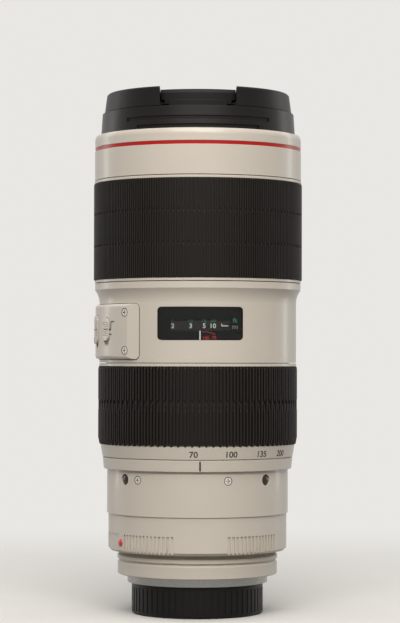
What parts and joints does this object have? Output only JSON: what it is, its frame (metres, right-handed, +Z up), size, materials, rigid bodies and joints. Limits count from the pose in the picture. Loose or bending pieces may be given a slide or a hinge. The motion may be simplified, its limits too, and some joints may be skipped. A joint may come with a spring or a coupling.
{
  "type": "camera zoom lens",
  "caption": "White telephoto zoom lens with zoom and focus rings, distance window, switch panel, iris, stabilizer and both caps.",
  "frame": {"origin": "middle of the rear cap's base, on the optical axis", "axes": "+Z up the optical axis towards the front glass, -Y through the distance window, +X to the right of it"},
  "size_m": [0.0888, 0.0888, 0.2203],
  "materials": {
    "white_paint": "warm white baked paint, satin, slightly grained",
    "black_anodised": "black anodised aluminium, satin",
    "drum_print": "dark grey paint with plain printed numbers",
    "grip_rubber": "black moulded rubber with fine ribs",
    "mount_metal": "chromed brass, turned",
    "screw_steel": "steel screws and springs",
    "key_steel": "ground steel",
    "blade_steel": "thin spring steel with dry black coating",
    "stud_steel": "polished dark steel domes",
    "contact_gold": "gold plated pins",
    "board_green": "glass fibre board with solder mask",
    "block_plastic": "black moulded plastic",
    "cap_plastic": "black moulded plastic, fine grain",
    "switch_plastic": "grey white moulded plastic knobs",
    "red_paint": "red enamel, glossy",
    "window_clear": "clear window pane",
    "lens_glass": "coated optical glass"
  },
  "bodies": {
    "barrel": {"rear_barrel": "white_paint", "mount_ring": "white_paint", "bayonet_mount": "mount_metal", "mount_screws": "screw_steel", "contact_block": "block_plastic", "contact_pins": "contact_gold", "main_barrel": "white_paint", "distance_window": "window_clear", "window_mask": "black_anodised", "front_barrel": "white_paint", "red_ring": "red_paint", "front_rim": "white_paint", "filter_ring": "black_anodised", "switch_panel": "white_paint", "barrel_screws": "screw_steel", "collar_studs": "stud_steel", "guide_tube": "black_anodised", "circuit_board": "board_green", "motor_stator": "key_steel", "front_cell": "black_anodised", "front_element": "lens_glass", "iris_housing": "black_anodised", "stabilizer_housing": "black_anodised", "rear_cell": "black_anodised", "rear_element": "lens_glass"},
    "zoom": {"zoom_ring": "white_paint", "zoom_grip": "grip_rubber", "cam_barrel": "black_anodised", "zoom_keys": "key_steel"},
    "variator": {"variator_cell": "black_anodised", "variator_element": "lens_glass"},
    "compensator": {"compensator_cell": "black_anodised", "compensator_element": "lens_glass"},
    "focus": {"focus_ring": "white_paint", "focus_grip": "grip_rubber"},
    "drum": {"distance_drum": "drum_print"},
    "focus_group": {"focus_cell": "black_anodised", "focus_element": "lens_glass"},
    "rotor": {"motor_rotor": "key_steel"},
    "steady_frame": {"stabilizer_frame": "black_anodised"},
    "steady_cell": {"stabilizer_cell": "black_anodised", "stabilizer_element": "lens_glass"},
    "iris": {"iris_drive_ring": "black_anodised"},
    "blade_1": {"iris_blade_1": "blade_steel"},
    "blade_2": {"iris_blade_2": "blade_steel"},
    "blade_3": {"iris_blade_3": "blade_steel"},
    "blade_4": {"iris_blade_4": "blade_steel"},
    "blade_5": {"iris_blade_5": "blade_steel"},
    "blade_6": {"iris_blade_6": "blade_steel"},
    "blade_7": {"iris_blade_7": "blade_steel"},
    "blade_8": {"iris_blade_8": "blade_steel"},
    "slider_1": {"switch_1": "switch_plastic"},
    "slider_2": {"switch_2": "switch_plastic"},
    "slider_3": {"switch_3": "switch_plastic"},
    "slider_4": {"switch_4": "switch_plastic"},
    "front_cover": {"front_cap": "cap_plastic", "tab_springs": "screw_steel"},
    "front_tab": {"pinch_tab_front": "cap_plastic"},
    "rear_tab": {"pinch_tab_rear": "cap_plastic"},
    "rear_cover": {"rear_cap": "cap_plastic"}
  },
  "joints": [
    {"name": "zoom_turn", "type": "hinge", "parent": "barrel", "child": "zoom", "pos_m": [0, 0, 0.09], "axis": [0, 0, 1], "range_deg": [-58, 0]},
    {"name": "variator_slide", "type": "slide", "parent": "barrel", "child": "variator", "axis": [0, 0, 1], "range_m": [-0.0281, 0.0001]},
    {"name": "compensator_slide", "type": "slide", "parent": "barrel", "child": "compensator", "axis": [0, 0, 1], "range_m": [-0.0001, 0.0121]},
    {"name": "focus_turn", "type": "hinge", "parent": "barrel", "child": "focus", "pos_m": [0, 0, 0.16], "axis": [0, 0, 1], "range_deg": [-24.8, 79.8]},
    {"name": "drum_turn", "type": "hinge", "parent": "barrel", "child": "drum", "pos_m": [0, 0, 0.14], "axis": [0, 0, 1], "range_deg": [-12.5, 40]},
    {"name": "focus_slide", "type": "slide", "parent": "barrel", "child": "focus_group", "axis": [0, 0, 1], "range_m": [-0.002, 0.0062]},
    {"name": "motor_spin", "type": "hinge", "parent": "barrel", "child": "rotor", "pos_m": [0, 0, 0.151], "axis": [0, 0, 1], "continuous": true},
    {"name": "stabilizer_x", "type": "slide", "parent": "barrel", "child": "steady_frame", "axis": [1, 0, 0], "range_m": [-0.0008, 0.0008]},
    {"name": "stabilizer_y", "type": "slide", "parent": "steady_frame", "child": "steady_cell", "axis": [0, 1, 0], "range_m": [-0.0008, 0.0008]},
    {"name": "iris_turn", "type": "hinge", "parent": "barrel", "child": "iris", "pos_m": [0, 0, 0.06], "axis": [0, 0, 1], "range_deg": [0, 3.75]},
    {"name": "blade_1_swing", "type": "hinge", "parent": "barrel", "child": "blade_1", "pos_m": [0, -0.027, 0.058], "axis": [0, 0, 1], "range_deg": [0, 36.1]},
    {"name": "blade_2_swing", "type": "hinge", "parent": "barrel", "child": "blade_2", "pos_m": [0.01909, -0.01909, 0.058], "axis": [0, 0, 1], "range_deg": [0, 36.1]},
    {"name": "blade_3_swing", "type": "hinge", "parent": "barrel", "child": "blade_3", "pos_m": [0.027, 0, 0.058], "axis": [0, 0, 1], "range_deg": [0, 36.1]},
    {"name": "blade_4_swing", "type": "hinge", "parent": "barrel", "child": "blade_4", "pos_m": [0.01909, 0.01909, 0.058], "axis": [0, 0, 1], "range_deg": [0, 36.1]},
    {"name": "blade_5_swing", "type": "hinge", "parent": "barrel", "child": "blade_5", "pos_m": [0, 0.027, 0.058], "axis": [0, 0, 1], "range_deg": [0, 36.1]},
    {"name": "blade_6_swing", "type": "hinge", "parent": "barrel", "child": "blade_6", "pos_m": [-0.01909, 0.01909, 0.058], "axis": [0, 0, 1], "range_deg": [0, 36.1]},
    {"name": "blade_7_swing", "type": "hinge", "parent": "barrel", "child": "blade_7", "pos_m": [-0.027, 0, 0.058], "axis": [0, 0, 1], "range_deg": [0, 36.1]},
    {"name": "blade_8_swing", "type": "hinge", "parent": "barrel", "child": "blade_8", "pos_m": [-0.01909, -0.01909, 0.058], "axis": [0, 0, 1], "range_deg": [0, 36.1]},
    {"name": "switch_1_slide", "type": "slide", "parent": "barrel", "child": "slider_1", "axis": [0, 0, 1], "range_m": [-0.0019, 0]},
    {"name": "switch_2_slide", "type": "slide", "parent": "barrel", "child": "slider_2", "axis": [0, 0, 1], "range_m": [-0.0019, 0]},
    {"name": "switch_3_slide", "type": "slide", "parent": "barrel", "child": "slider_3", "axis": [0, 0, 1], "range_m": [-0.0019, 0]},
    {"name": "switch_4_slide", "type": "slide", "parent": "barrel", "child": "slider_4", "axis": [0, 0, 1], "range_m": [-0.0019, 0]},
    {"name": "front_cap_lift", "type": "slide", "parent": "barrel", "child": "front_cover", "axis": [0, 0, 1], "range_m": [0, 0.03]},
    {"name": "front_tab_press", "type": "slide", "parent": "front_cover", "child": "front_tab", "axis": [0, 1, 0], "range_m": [0, 0.002], "stiffness_N_per_m": 800, "deforming": ["tab_springs"]},
    {"name": "rear_tab_press", "type": "slide", "parent": "front_cover", "child": "rear_tab", "axis": [0, -1, 0], "range_m": [0, 0.002], "stiffness_N_per_m": 800, "deforming": ["tab_springs"]},
    {"name": "rear_cap_turn", "type": "hinge", "parent": "barrel", "child": "rear_cover", "pos_m": [0, 0, 0.006], "axis": [0, 0, 1], "range_deg": [0, 60]}
  ],
  "couplings": [
    {"joint": "variator_slide", "follows": "zoom_turn", "m_per_rad": 0.02766},
    {"joint": "compensator_slide", "follows": "zoom_turn", "m_per_rad": -0.011854},
    {"joint": "drum_turn", "follows": "focus_turn", "ratio": 0.5},
    {"joint": "focus_slide", "follows": "focus_turn", "m_per_rad": 0.0043821},
    {"joint": "blade_1_swing", "follows": "iris_turn", "ratio": 9.6},
    {"joint": "blade_2_swing", "follows": "iris_turn", "ratio": 9.6},
    {"joint": "blade_3_swing", "follows": "iris_turn", "ratio": 9.6},
    {"joint": "blade_4_swing", "follows": "iris_turn", "ratio": 9.6},
    {"joint": "blade_5_swing", "follows": "iris_turn", "ratio": 9.6},
    {"joint": "blade_6_swing", "follows": "iris_turn", "ratio": 9.6},
    {"joint": "blade_7_swing", "follows": "iris_turn", "ratio": 9.6},
    {"joint": "blade_8_swing", "follows": "iris_turn", "ratio": 9.6}
  ]
}
